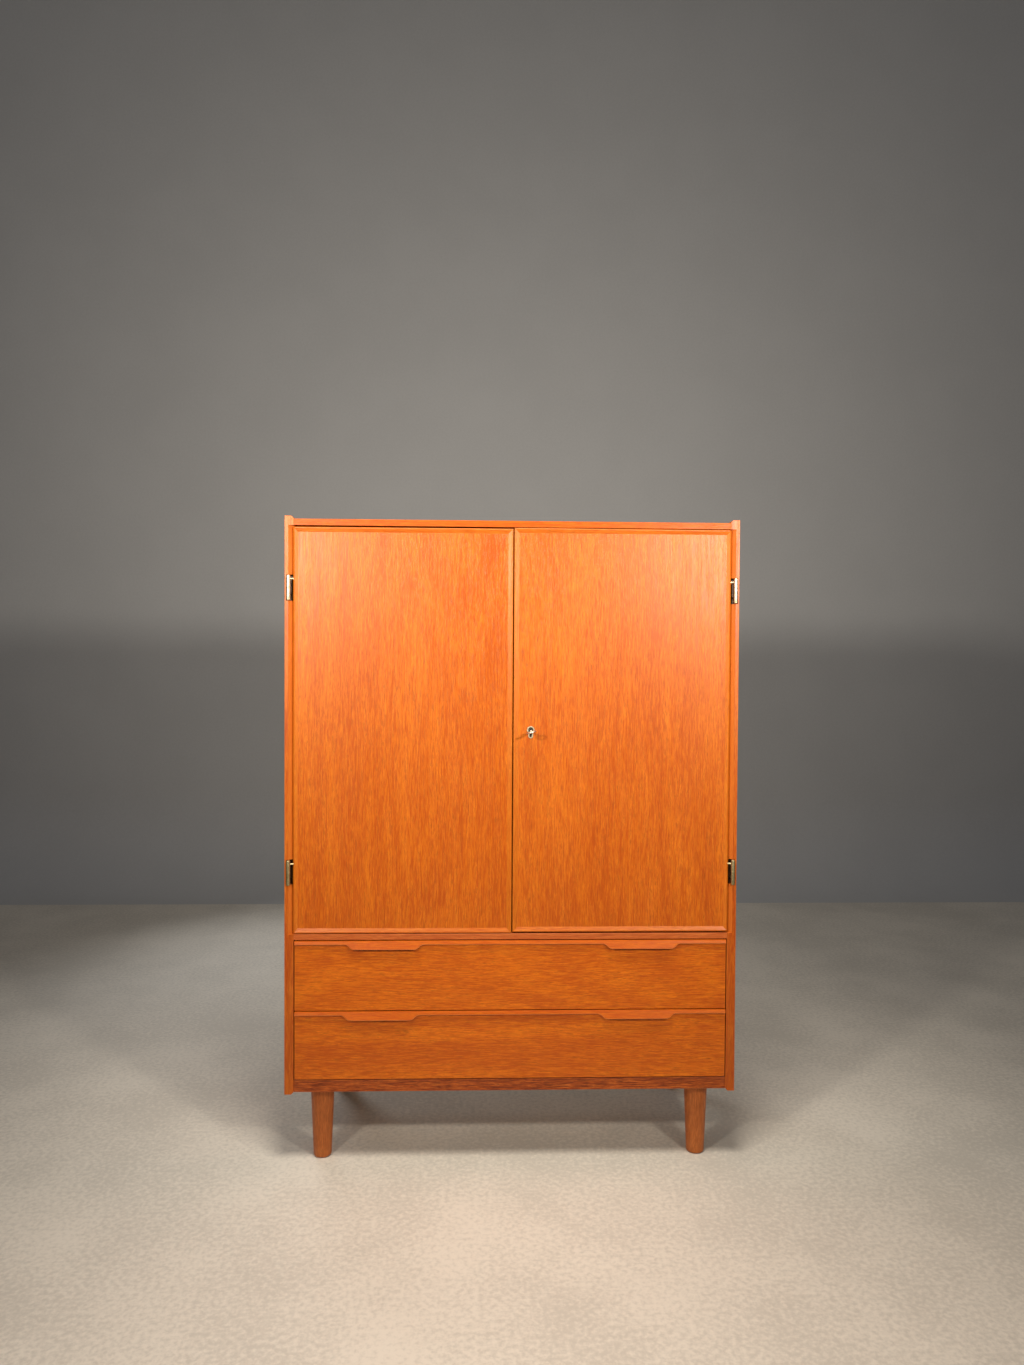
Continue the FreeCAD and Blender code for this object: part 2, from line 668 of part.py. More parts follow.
def keyhole(y0, y1, rim=0.0):
    """A keyhole shape, round above and round-ended below, between two depths."""
    head_z = KEY_Z + KEYHOLE_RISE
    foot_radius = KEYHOLE_SLOT / 2
    foot_z = KEY_Z - KEYHOLE_DROP + foot_radius
    head = rod(KEYHOLE_RADIUS + rim, V(KEY_X, y0, head_z), V(KEY_X, y1, head_z))
    foot = rod(foot_radius + rim, V(KEY_X, y0, foot_z), V(KEY_X, y1, foot_z))
    half = foot_radius + rim
    stem = box(KEY_X - half, KEY_X + half, y0, y1, foot_z, head_z)
    return head.fuse([stem, foot]).removeSplitter()


def escutcheon():
    """A keyhole-shaped rim on the door's face."""
    face = FRONT + FIELD_DEPTH
    front = face - ESCUTCHEON_THICKNESS
    return keyhole(front, face, ESCUTCHEON_RIM).cut(keyhole(front - CUT, face + CUT))


def key():
    """The key: oval bow, collar, shaft and bit, with its bow tilted a little."""
    bow_centre = V(KEY_X, FRONT - KEY_REACH + BOW_DEPTH / 2, KEY_Z)
    outer = oval(bow_centre, BOW_WIDTH, BOW_DEPTH)
    hole = oval(bow_centre, BOW_WIDTH - 2 * BOW_RIM, BOW_DEPTH - 2 * BOW_RIM)
    bow_back = FRONT - KEY_REACH + BOW_DEPTH
    neck = V(KEY_X, bow_back - BOW_RIM / 2, KEY_Z)
    shaft = rod(KEY_SHAFT_RADIUS, neck, V(KEY_X, FRONT + KEY_SHAFT_END, KEY_Z))
    collar_start = V(KEY_X, bow_back - BOW_THICKNESS / 4, KEY_Z)
    collar = rod(KEY_COLLAR_RADIUS, collar_start, collar_start + V(0, KEY_COLLAR_LENGTH, 0))
    half = KEY_BIT_THICKNESS / 2
    bit_end = FRONT + KEY_SHAFT_END
    bit = box(KEY_X - half, KEY_X + half, bit_end - KEY_BIT_WIDTH, bit_end,
              KEY_Z - KEY_BIT_LENGTH, KEY_Z)
    whole = outer.cut(hole).fuse([shaft, collar, bit]).removeSplitter()
    whole.rotate(V(KEY_X, 0, KEY_Z), V(0, 1, 0), -KEY_TILT)
    return whole


def oval(centre, width, depth):
    """A flat elliptical disc, level and wider than it is deep, centred on a point."""
    base = centre - V(0, 0, BOW_THICKNESS / 2)
    curve = Part.Ellipse(base + V(width / 2, 0, 0), base + V(0, depth / 2, 0), base)
    return Part.Face(Part.Wire(curve.toShape())).extrude(V(0, 0, BOW_THICKNESS))


def door_bolt():
    """The round bolt that pins the left door to the top panel."""
    top = V(DOOR_BOLT_X, DOOR_BOLT_Y, DOOR_TOP + LEFT_DOOR_LIFT - DOOR_BOLT_SETBACK)
    bottom = top - V(0, 0, DOOR_BOLT_LENGTH)
    knob_start = bottom + V(0, 0, DOOR_BOLT_KNOB_RISE)
    knob = rod(DOOR_BOLT_KNOB_RADIUS, knob_start, knob_start + V(0, DOOR_BOLT_KNOB_REACH, 0))
    return rod(DOOR_BOLT_RADIUS, bottom, top).fuse(knob).removeSplitter()


def door_bolt_guide():
    """Two guide blocks on a plate, fixed to the inner face of the left door."""
    top = DOOR_TOP + LEFT_DOOR_LIFT - BOLT_PLATE_DROP
    bottom = top - BOLT_PLATE_HEIGHT
    half = BOLT_PLATE_WIDTH / 2
    plate = box(DOOR_BOLT_X - half, DOOR_BOLT_X + half, DOOR_BACK,
                DOOR_BACK + BOLT_PLATE_THICKNESS, bottom, top)
    half = BOLT_GUIDE_WIDTH / 2
    guide_bottoms = (top - BOLT_GUIDE_INSET - BOLT_GUIDE_HEIGHT, bottom + 2 * BOLT_GUIDE_HEIGHT)
    guides = [box(DOOR_BOLT_X - half, DOOR_BOLT_X + half, DOOR_BACK,
                  DOOR_BOLT_Y + BOLT_GUIDE_WALL, z, z + BOLT_GUIDE_HEIGHT) for z in guide_bottoms]
    bore = rod(DOOR_BOLT_RADIUS + BOLT_GUIDE_PLAY, V(DOOR_BOLT_X, DOOR_BOLT_Y, bottom - CUT),
               V(DOOR_BOLT_X, DOOR_BOLT_Y, top + CUT))
    return plate.fuse(guides).removeSplitter().cut(bore)


def build_doors():
    left = door_pieces(LEFT_DOOR_LIFT)
    left["upright_lippings"] = left["upright_lippings"].cut(strike_pocket())
    right = {name: mirrored(shape) for name, shape in door_pieces(RIGHT_DOOR_LIFT).items()}
    right["panel"] = right["panel"].cut([lock_pocket(), keyhole(FRONT, DOOR_BACK)])
    right["upright_lippings"] = right["upright_lippings"].cut(lock_pocket())
    for name in left:
        save("left_door_" + name, left[name])
        save("right_door_" + name, right[name])
    for place, middle in zip(("lower", "upper"), HINGE_HEIGHTS):
        save(place + "_left_hinge_frame_half", frame_half(middle))
        save(place + "_left_hinge_door_half", door_half(middle))
        save(place + "_right_hinge_frame_half", mirrored(frame_half(middle)))
        save(place + "_right_hinge_door_half", mirrored(door_half(middle)))
    save("door_lock_case", lock_case())
    save("lock_bolt", lock_bolt())
    save("key", key())
    save("key_escutcheon", escutcheon())
    save("left_door_bolt", door_bolt())
    save("left_door_bolt_guide", door_bolt_guide())


# ---------------------------------------------------------------- drawers

def sweep_arcs(x_high, x_low, z_high, z_low):
    """Two tangent arcs that ease an edge from one level to another."""
    x_mid = (x_high + x_low) / 2
    z_mid = (z_high + z_low) / 2
    rise = (z_high - z_low) / 2
    run = abs(x_low - x_high) / 2
    radius = (run * run + rise * rise) / (2 * rise)
    half_turn = math.asin(run / radius) / 2
    sign = 1 if x_low > x_high else -1
    first = V(x_high + sign * radius * math.sin(half_turn), 0, z_high - radius * (1 - math.cos(half_turn)))
    second = V(x_low - sign * radius * math.sin(half_turn), 0, z_low + radius * (1 - math.cos(half_turn)))
    start = V(x_high, 0, z_high)
    middle = V(x_mid, 0, z_mid)
    end = V(x_low, 0, z_low)
    return [Part.Arc(start, first, middle).toShape(), Part.Arc(middle, second, end).toShape()]


def pull_centres(shift):
    return [shift - PULL_OFFSET, shift + PULL_OFFSET]


def strip_outline(top, shift):
    """The strip seen from the front: a narrow bead that dips to two pulls."""
    bead = top - BEAD_HEIGHT
    lip = top - PULL_HEIGHT
    edges = []
    x = -DRAWER_HALF
    for centre in pull_centres(shift):
        flat0 = centre - PULL_FLAT / 2
        flat1 = centre + PULL_FLAT / 2
        edges.append(Part.makeLine(V(x, 0, bead), V(flat0 - PULL_SWEEP, 0, bead)))
        edges += sweep_arcs(flat0 - PULL_SWEEP, flat0, bead, lip)
        edges.append(Part.makeLine(V(flat0, 0, lip), V(flat1, 0, lip)))
        edges += sweep_arcs(flat1 + PULL_SWEEP, flat1, bead, lip)[::-1]
        x = flat1 + PULL_SWEEP
    edges.append(Part.makeLine(V(x, 0, bead), V(DRAWER_HALF, 0, bead)))
    edges.append(Part.makeLine(V(DRAWER_HALF, 0, bead), V(DRAWER_HALF, 0, top)))
    edges.append(Part.makeLine(V(DRAWER_HALF, 0, top), V(-DRAWER_HALF, 0, top)))
    edges.append(Part.makeLine(V(-DRAWER_HALF, 0, top), V(-DRAWER_HALF, 0, bead)))
    wire = Part.Wire(Part.__sortEdges__(edges))
    face = Part.Face(wire)
    face.translate(V(0, FRONT - STRIP_LIP_PROUD - CUT, 0))
    return face.extrude(V(0, STRIP_LIP_PROUD + CUT, 0))


def finger_groove(centre, top):
    """A long round-ended cove behind and below one pull's lip."""
    half = PULL_FLAT / 2 - FINGER_RADIUS
    z = top - FINGER_DROP
    left = V(centre - half, FRONT, z)
    right = V(centre + half, FRONT, z)
    ends = [Part.makeSphere(FINGER_RADIUS, end) for end in (left, right)]
    return rod(FINGER_RADIUS, left, right).fuse(ends)


def pull_strip(top, shift):
    """The sculpted strip along a drawer front's top edge."""
    lowest = top - PULL_HEIGHT
    corners = [V(-DRAWER_HALF, FRONT, top), V(-DRAWER_HALF, FRONT - STRIP_TOP_PROUD, top),
               V(-DRAWER_HALF, FRONT - STRIP_LIP_PROUD, lowest), V(-DRAWER_HALF, FRONT, lowest)]
    wedge = prism(corners, V(2 * DRAWER_HALF, 0, 0))
    strip = wedge.common(strip_outline(top, shift))
    face_edges = [edge for edge in strip.Edges if on_sloping_face(edge, top)]
    strip = strip.makeFillet(STRIP_EDGE_ROUND, face_edges)
    return strip.cut([finger_groove(centre, top) for centre in pull_centres(shift)])


def on_sloping_face(edge, top):
    slope = (STRIP_LIP_PROUD - STRIP_TOP_PROUD) / PULL_HEIGHT
    points = [edge.valueAt(edge.FirstParameter), edge.valueAt(edge.LastParameter)]
    proud = [FRONT - STRIP_TOP_PROUD - slope * (top - point.z) for point in points]
    return all(abs(point.y - y) < TOUCH for point, y in zip(points, proud))


def runner_groove(z, sign):
    outside = sign * (INNER - DRAWER_CLEARANCE)
    inside = sign * (INNER - RUNNER_WIDTH - RUNNER_PLAY)
    low, high = sorted((outside + sign * CUT, inside))
    start = FRONT + DRAWER_FRONT_THICKNESS + GROOVE_FRONT_GAP
    return box(low, high, start, FRONT + DRAWER_DEPTH + CUT,
               z - RUNNER_PLAY, z + RUNNER_HEIGHT + RUNNER_PLAY)


def runner(z, sign):
    low, high = sorted((sign * INNER, sign * (INNER - RUNNER_WIDTH)))
    start = FRONT + DRAWER_FRONT_THICKNESS + RUNNER_FRONT_GAP
    return board(low, high, start, BOARD_BACK - RUNNER_BACK_GAP, z, z + RUNNER_HEIGHT)


def drawer(prefix, front_bottom, front_height, pull_shift):
    """One drawer: front, pull strip, sides, back, bottom, and its two runners."""
    top = front_bottom + front_height
    y0 = FRONT + DRAWER_FRONT_THICKNESS
    y1 = FRONT + DRAWER_DEPTH
    outside = INNER - DRAWER_CLEARANCE
    inside = outside - DRAWER_WALL
    wall_bottom = front_bottom + DRAWER_WALL_RISE
    wall_top = wall_bottom + DRAWER_WALL_HEIGHT
    floor_bottom = wall_bottom + DRAWER_BOTTOM_RISE
    runner_bottom = wall_bottom + RUNNER_RISE
    grooves = [finger_groove(centre, top) for centre in pull_centres(pull_shift)]
    front = board(-DRAWER_HALF, DRAWER_HALF, FRONT, y0, front_bottom, top)
    floor_half = inside + DRAWER_BOTTOM_LET_IN
    floor = box(-floor_half, floor_half, y0, y1 - DRAWER_WALL + DRAWER_BOTTOM_LET_IN,
                floor_bottom, floor_bottom + DRAWER_BOTTOM)
    save(prefix + "_front", front.cut(grooves))
    save(prefix + "_pull_strip", pull_strip(top, pull_shift))
    for side_name, sign in (("left", -1), ("right", 1)):
        low, high = sorted((sign * outside, sign * inside))
        wall = board(low, high, y0, y1, wall_bottom, wall_top)
        save(prefix + "_" + side_name + "_side", wall.cut([runner_groove(runner_bottom, sign), floor]))
    back = board(-inside, inside, y1 - DRAWER_WALL, y1, wall_bottom, wall_top - DRAWER_BACK_DROP)
    save(prefix + "_back", back.cut(floor))
    save(prefix + "_bottom", floor)
    save(prefix + "_runners", group(runner(runner_bottom, sign) for sign in (-1, 1)))


def build_drawers():
    drawer("lower_drawer", LOWER_FRONT_BOTTOM, LOWER_FRONT_HEIGHT, LOWER_PULL_SHIFT)
    drawer("upper_drawer", UPPER_FRONT_BOTTOM, UPPER_FRONT_HEIGHT, UPPER_PULL_SHIFT)


def main():
    os.makedirs("parts", exist_ok=True)
    build_carcass()
    build_legs()
    build_doors()
    build_drawers()


main()
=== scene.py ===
import json
import math

import bpy
from mathutils import Matrix, Vector


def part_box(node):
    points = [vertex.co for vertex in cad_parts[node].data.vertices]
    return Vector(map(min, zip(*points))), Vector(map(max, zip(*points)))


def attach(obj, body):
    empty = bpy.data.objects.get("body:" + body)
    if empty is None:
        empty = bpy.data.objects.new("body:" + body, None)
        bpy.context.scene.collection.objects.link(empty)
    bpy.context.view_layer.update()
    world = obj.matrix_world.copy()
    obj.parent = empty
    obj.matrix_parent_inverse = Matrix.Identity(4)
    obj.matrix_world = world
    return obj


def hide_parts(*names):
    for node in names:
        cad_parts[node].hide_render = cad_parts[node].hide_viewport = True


# Looks of the two-door wardrobe. Metres, +X right, +Y back, +Z up; the doors face -Y.

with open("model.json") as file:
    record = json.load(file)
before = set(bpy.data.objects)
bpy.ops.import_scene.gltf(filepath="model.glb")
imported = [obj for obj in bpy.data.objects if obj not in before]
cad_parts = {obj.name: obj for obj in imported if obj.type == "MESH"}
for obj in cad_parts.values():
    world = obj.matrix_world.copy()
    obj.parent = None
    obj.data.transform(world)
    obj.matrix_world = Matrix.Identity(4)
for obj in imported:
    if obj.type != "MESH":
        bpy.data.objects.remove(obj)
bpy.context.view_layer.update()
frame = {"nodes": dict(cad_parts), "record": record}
NODES = frame["nodes"]


# ---------------------------------------------------------------- shader kit

# The colour mix node's inputs and output, which share their names with its other kinds.
MIX_COLOUR_SOCKETS = (0, 6, 7)
MIX_COLOUR_RESULT = 2


class Shader:
    """A small wrapper that builds one node material."""

    def __init__(self, name):
        self.material = bpy.data.materials.new(name)
        self.material.use_nodes = True
        self.tree = self.material.node_tree
        self.bsdf = self.tree.nodes["Principled BSDF"]
        self.place = self.tree.nodes.new("ShaderNodeTexCoord").outputs["Object"]

    def node(self, kind, **settings):
        made = self.tree.nodes.new(kind)
        for key, value in settings.items():
            setattr(made, key, value)
        return made

    def feed(self, socket, value):
        if isinstance(value, (int, float)):
            socket.default_value = value
        elif isinstance(value, tuple):
            socket.default_value = (*value, 1.0) if len(socket.default_value) == 4 else value
        else:
            self.tree.links.new(value, socket)

    def mapped(self, scale, offset=(0, 0, 0), source=None):
        mapping = self.node("ShaderNodeMapping")
        self.feed(mapping.inputs["Vector"], source or self.place)
        mapping.inputs["Scale"].default_value = scale
        mapping.inputs["Location"].default_value = offset
        return mapping.outputs["Vector"]

    def noise(self, vector, detail=2.0, roughness=0.5, output="Fac"):
        made = self.node("ShaderNodeTexNoise")
        made.inputs["Scale"].default_value = 1.0
        made.inputs["Detail"].default_value = detail
        made.inputs["Roughness"].default_value = roughness
        self.feed(made.inputs["Vector"], vector)
        return made.outputs[output]

    def ramp(self, value, low, high, out_low=0.0, out_high=1.0):
        made = self.node("ShaderNodeMapRange", interpolation_type="SMOOTHSTEP")
        settings = (("From Min", low), ("From Max", high), ("To Min", out_low), ("To Max", out_high))
        for name, number in settings:
            made.inputs[name].default_value = number
        self.feed(made.inputs["Value"], value)
        return made.outputs["Result"]

    def math(self, operation, *values):
        made = self.node("ShaderNodeMath", operation=operation)
        for socket, value in zip(made.inputs, values):
            self.feed(socket, value)
        return made.outputs[0]

    def vector(self, operation, *values):
        made = self.node("ShaderNodeVectorMath", operation=operation)
        for socket, value in zip(made.inputs, values):
            self.feed(socket, value)
        return made.outputs[0]

    def total(self, layers, start):
        """start plus each layer's gain times its distance from a half."""
        result = start
        for value, gain in layers:
            centred = self.math("SUBTRACT", value, 0.5)
            result = self.math("MULTIPLY_ADD", centred, gain, result)
        return result

    def mix(self, factor, first, second):
        made = self.node("ShaderNodeMix", data_type="RGBA", blend_type="MIX")
        for index, value in zip(MIX_COLOUR_SOCKETS, (factor, first, second)):
            self.feed(made.inputs[index], value)
        return made.outputs[MIX_COLOUR_RESULT]

    def colours(self, value, stops):
        made = self.node("ShaderNodeValToRGB")
        made.color_ramp.interpolation = "B_SPLINE"
        elements = made.color_ramp.elements
        while len(elements) < len(stops):
            elements.new(0.5)
        for element, (place, colour) in zip(elements, stops):
            element.position = place
            element.color = (*colour, 1.0)
        self.feed(made.inputs["Fac"], value)
        return made.outputs["Color"]

    def bump(self, height, strength, distance):
        made = self.node("ShaderNodeBump")
        made.inputs["Strength"].default_value = strength
        made.inputs["Distance"].default_value = distance
        self.feed(made.inputs["Height"], height)
        self.feed(self.bsdf.inputs["Normal"], made.outputs["Normal"])

    def near_edges(self, low, high, reach):
        """1 on the box's edges, falling to 0 at reach inside them."""
        centre = tuple((a + b) / 2 for a, b in zip(low, high))
        half = tuple((b - a) / 2 for a, b in zip(low, high))
        away = self.vector("ABSOLUTE", self.vector("SUBTRACT", self.place, centre))
        depth = self.node("ShaderNodeSeparateXYZ")
        self.feed(depth.inputs[0], self.vector("SUBTRACT", half, away))
        x, y, z = depth.outputs
        low_pair = self.math("MINIMUM", x, y)
        high_pair = self.math("MAXIMUM", x, y)
        second = self.math("MAXIMUM", low_pair, self.math("MINIMUM", high_pair, z))
        return self.ramp(second, 0.0, reach, 1.0, 0.0)

    def within(self, value, low, high, soft):
        """1 between low and high, falling to 0 over soft on either side."""
        rise = self.ramp(value, low - soft, low)
        return self.math("MULTIPLY", rise, self.ramp(value, high, high + soft, 1.0, 0.0))


# ------------------------------------------------------------------- woods

SEED_STEPS = (3.17, 1.31, 7.73)
SEED_SPANS = (7, 5, 9)
SWAY_SCALE = (5.0, 1.4)
SWAY_REACH = 0.035
NO_SWAY = (0.5, 0.5, 0.5)

# Each layer of grain: texture scale across the grain, scale along it, noise detail.
GRAIN_LAYERS = {
    "broad": (7.0, 1.1, 2.0),
    "bands": (38.0, 1.6, 2.0),
    "streaks": (170.0, 8.0, 3.0),
    "dashes": (420.0, 24.0, 2.0),
    "ticks": (310.0, 34.0, 1.0),
    "fine": (900.0, 60.0, 1.0),
}
GRAIN_ROUGHNESS = 0.55
TONE_GAINS = {"broad": 0.40, "bands": 0.42, "streaks": 0.75, "dashes": 1.5, "fine": 1.5}
RING_SCALE = (3.2, 0.55)
RING_DETAIL = 1.0
RING_WAVES = 75.0
PALETTE_STOPS = (0.12, 0.5, 0.88)

# Ramps: from low, from high, and where given to low, to high.
PORE_CUT = (0.54, 0.68)
PORE_STREAKS = (0.35, 0.6, 0.35, 1.0)
PORE_SHADE = 0.5
FLECK_CUT = (0.52, 0.66)
FLECK_STREAKS = (0.4, 0.6, 0.3, 1.0)
FLECK_SHADE = 0.75
FLECK_STRENGTH = 0.7
EDGE_REACH = 0.0022
EDGE_BANDS = (0.4, 0.6, 0.3)
EDGE_GAIN = 1.25
EDGE_LIFT = 0.03
# Painted highlight where the surface faces down, as on the pull lip's lower rounded edge.
UNDERSIDE_HIGHLIGHT = (-0.25, 0.15, 0.8, 0.0)
ROUGHNESS_GAINS = {"streaks": 0.22, "broad": 0.12}
WOOD_SHEEN = (1.0, 0.80, 0.66, 1.0)
DASH_HEIGHT = 0.5
WOOD_BUMP = (0.35, 0.0003)


def scaled(colour, gain):
    return tuple(channel * gain for channel in colour)


def along(grain, across_scale, along_scale):
    """Texture scale per axis: fine across the grain, long along it."""
    return tuple(along_scale if axis == grain else across_scale for axis in "XYZ")


def paint_side_front_light_and_shade(s, colour, hinges):
    """Painted light and shade on the side's front: a paler tone on the stopped chamfer that lifts the shade
    it falls in, and near-black painted shade down in the hinge slots.
    """
    axes = s.node("ShaderNodeSeparateXYZ")
    s.feed(axes.inputs[0], s.place)
    x, y, z = axes.outputs
    out = s.math("ABSOLUTE", x)
    face = s.within(y, CHAMFER_FRONT, CHAMFER_BACK, CREASE)
    strip = s.math("MULTIPLY", face, s.within(out, CHAMFER_INSIDE, CHAMFER_OUTSIDE, CREASE))
    # painted light: the chamfer strip is mixed towards a paler tone, lifting its shade
    colour = s.mix(s.math("MULTIPLY", strip, CHAMFER_STRENGTH), colour, CHAMFER_PAINTED_LIGHT)
    depth = s.within(y, SLOT_FRONT, SLOT_BACK, CREASE)
    inward = s.ramp(out, SLOT_OUTSIDE, SLOT_OUTSIDE + CREASE, 1.0, 0.0)
    for low, high in hinges:
        slot = s.math("MULTIPLY", s.within(z, low, high, CREASE), depth)
        # painted shade: near black down in each hinge slot
        colour = s.mix(s.math("MULTIPLY", slot, inward), colour, SLOT_PAINTED_SHADE)
    return colour


def wood(name, grain, seed, palette, box, contrast=1.0, figure=0.0, pores=0.5, rough=0.42,
         worn=0.25, gloss=0.5, slots=None, rubbed_under=False):
    """Oiled wood: broad tone, growth rings, streaks, dashes and pores, paler at its edges, partly wear and
    partly painted highlight.
    """
    s = Shader(name)
    offset = tuple(seed * step % span for step, span in zip(SEED_STEPS, SEED_SPANS))
    wander = s.noise(s.mapped(along(grain, *SWAY_SCALE), offset), output="Color")
    drift = s.vector("SUBTRACT", wander, NO_SWAY)
    wavy = s.vector("ADD", s.place, s.vector("MULTIPLY", drift, along(grain, SWAY_REACH, 0.0)))

    layers = {}
    for layer, (across_scale, along_scale, detail) in GRAIN_LAYERS.items():
        spread = s.mapped(along(grain, across_scale, along_scale), offset, wavy)
        layers[layer] = s.noise(spread, detail, GRAIN_ROUGHNESS)
    ring_noise = s.noise(s.mapped(along(grain, *RING_SCALE), offset, wavy), RING_DETAIL)
    waves = s.math("SINE", s.math("MULTIPLY", ring_noise, RING_WAVES))
    rings = s.math("MULTIPLY_ADD", waves, 0.5, 0.5)

    tones = [(layers[layer], gain * contrast) for layer, gain in TONE_GAINS.items()]
    tone = s.total(tones + [(rings, figure)], 0.5)
    dark, _, light = palette
    colour = s.colours(tone, list(zip(PALETTE_STOPS, palette)))

    fleck = s.math("MULTIPLY", s.ramp(layers["ticks"], *FLECK_CUT), s.ramp(layers["streaks"], *FLECK_STREAKS))
    pore = s.math("MULTIPLY", s.ramp(layers["fine"], *PORE_CUT), s.ramp(layers["streaks"], *PORE_STREAKS))
    colour = s.mix(s.math("MULTIPLY", fleck, pores * FLECK_STRENGTH), colour, scaled(dark, FLECK_SHADE))
    colour = s.mix(s.math("MULTIPLY", pore, pores), colour, scaled(dark, PORE_SHADE))

    # paler edges: partly wear, partly a painted highlight along the edges
    rubbed = s.math("MULTIPLY", s.near_edges(*box, EDGE_REACH), s.ramp(layers["bands"], *EDGE_BANDS, worn))
    pale = tuple(min(1.0, channel * EDGE_GAIN + EDGE_LIFT) for channel in light)
    colour = s.mix(rubbed, colour, pale)
    if slots:
        colour = paint_side_front_light_and_shade(s, colour, slots)
    # painted highlight: pale pink on faces turned down, as along the pull lip's lower rounded edge
    if rubbed_under:
        facing = s.node("ShaderNodeSeparateXYZ")
        s.feed(facing.inputs[0], s.node("ShaderNodeNewGeometry").outputs["Normal"])
        colour = s.mix(s.ramp(facing.outputs[2], *UNDERSIDE_HIGHLIGHT), colour, PULL_LIP_HIGHLIGHT)

    s.feed(s.bsdf.inputs["Base Color"], colour)
    roughness = [(layers[layer], gain) for layer, gain in ROUGHNESS_GAINS.items()]
    s.feed(s.bsdf.inputs["Roughness"], s.total(roughness, rough))
    s.bsdf.inputs["Specular IOR Level"].default_value = gloss
    s.bsdf.inputs["Specular Tint"].default_value = WOOD_SHEEN
    s.bump(s.math("SUBTRACT", s.math("MULTIPLY", layers["dashes"], DASH_HEIGHT), pore), *WOOD_BUMP)
    return s.material


METAL_CLOUDS = (130.0, 130.0, 90.0)
METAL_SCRATCHES = (500.0, 500.0, 60.0)
METAL_ROUGHNESS = 0.6
TARNISH_CUT = (0.44, 0.66)
METAL_EDGE_REACH = 0.0012
METAL_EDGE_STRENGTH = 0.4
METAL_EDGE_GAIN = 1.15
SCRATCH_GAIN = 0.25
CLOUD_GAIN = 0.3
METAL_BUMP = (0.10, 0.0002)


def metal(name, colour, dull, rough, box):
    """Worn metal: tarnish clouds, fine scratches and brighter rubbed edges."""
    s = Shader(name)
    clouds = s.noise(s.mapped(METAL_CLOUDS), 5.0, METAL_ROUGHNESS)
    scratches = s.noise(s.mapped(METAL_SCRATCHES), 3.0, METAL_ROUGHNESS)
    tone = s.mix(s.ramp(clouds, *TARNISH_CUT), colour, dull)
    rubbed = s.math("MULTIPLY", s.near_edges(*box, METAL_EDGE_REACH), METAL_EDGE_STRENGTH)
    bright = tuple(min(1.0, channel * METAL_EDGE_GAIN) for channel in colour)
    s.feed(s.bsdf.inputs["Base Color"], s.mix(rubbed, tone, bright))
    s.bsdf.inputs["Metallic"].default_value = 1.0
    roughness = s.total([(scratches, SCRATCH_GAIN), (clouds, CLOUD_GAIN)], rough)
    s.feed(s.bsdf.inputs["Roughness"], roughness)
    s.bump(scratches, *METAL_BUMP)
    return s.material


# Where the side boards' front chamfer and hinge slots are, measured from the board's own box.
SIDE_LOW, SIDE_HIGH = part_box("right_side_panel")
CREASE = 0.0004
MARGIN = 4 * CREASE
CHAMFER_WIDTH = 0.013
CHAMFER_FRONT = SIDE_LOW[1] + CREASE
CHAMFER_BACK = SIDE_LOW[1] + CHAMFER_WIDTH - CREASE
CHAMFER_INSIDE = SIDE_LOW[0] + CREASE
CHAMFER_OUTSIDE = SIDE_LOW[0] + CHAMFER_WIDTH - CREASE
# Painted light: a paler tone on the chamfer strip, lifting the shade it falls in.
CHAMFER_PAINTED_LIGHT = (0.68, 0.175, 0.020)
CHAMFER_STRENGTH = 0.6
SLOT_REACH = 0.026
SLOT_FRONT = SIDE_LOW[1] + MARGIN
SLOT_BACK = SIDE_LOW[1] + SLOT_REACH
SLOT_OUTSIDE = SIDE_HIGH[0] - MARGIN
# Painted shade: near black down in the hinge slots.
SLOT_PAINTED_SHADE = (0.045, 0.016, 0.006)

# Each palette: dark, middle and light tone of one wood.
DOOR = ((0.41, 0.064, 0.001), (0.52, 0.101, 0.002), (0.63, 0.155, 0.004))
SIDE = ((0.38, 0.054, 0.001), (0.50, 0.096, 0.003), (0.60, 0.150, 0.008))
LIP = ((0.42, 0.062, 0.002), (0.56, 0.120, 0.004), (0.68, 0.190, 0.012))
# Painted highlight: a lighter copy of the lipping wood, for the upright lippings.
LIT_UPRIGHT_LIP = ((0.46, 0.082, 0.002), (0.57, 0.135, 0.004), (0.68, 0.200, 0.010))
TOP = ((0.36, 0.046, 0.001), (0.47, 0.082, 0.001), (0.58, 0.125, 0.003))
DRAWER = ((0.46, 0.074, 0.001), (0.61, 0.122, 0.001), (0.74, 0.182, 0.003))
# Painted shade: a darker copy of the drawer wood, for the pull strips.
SHADED_PULL = ((0.42, 0.060, 0.001), (0.53, 0.096, 0.001), (0.64, 0.145, 0.002))
DECK = ((0.38, 0.062, 0.010), (0.52, 0.115, 0.020), (0.64, 0.170, 0.032))
RAIL = ((0.14, 0.017, 0.002), (0.36, 0.056, 0.004), (0.62, 0.150, 0.020))
LEG = ((0.34, 0.078, 0.012), (0.50, 0.130, 0.024), (0.64, 0.200, 0.044))
BEECH = ((0.44, 0.25, 0.12), (0.55, 0.35, 0.19), (0.64, 0.44, 0.26))
PLY = ((0.36, 0.20, 0.085), (0.47, 0.29, 0.14), (0.57, 0.38, 0.20))

# Pale pink painted highlight for the pull strips' faces turned down.
PULL_LIP_HIGHLIGHT = (0.86, 0.34, 0.12)

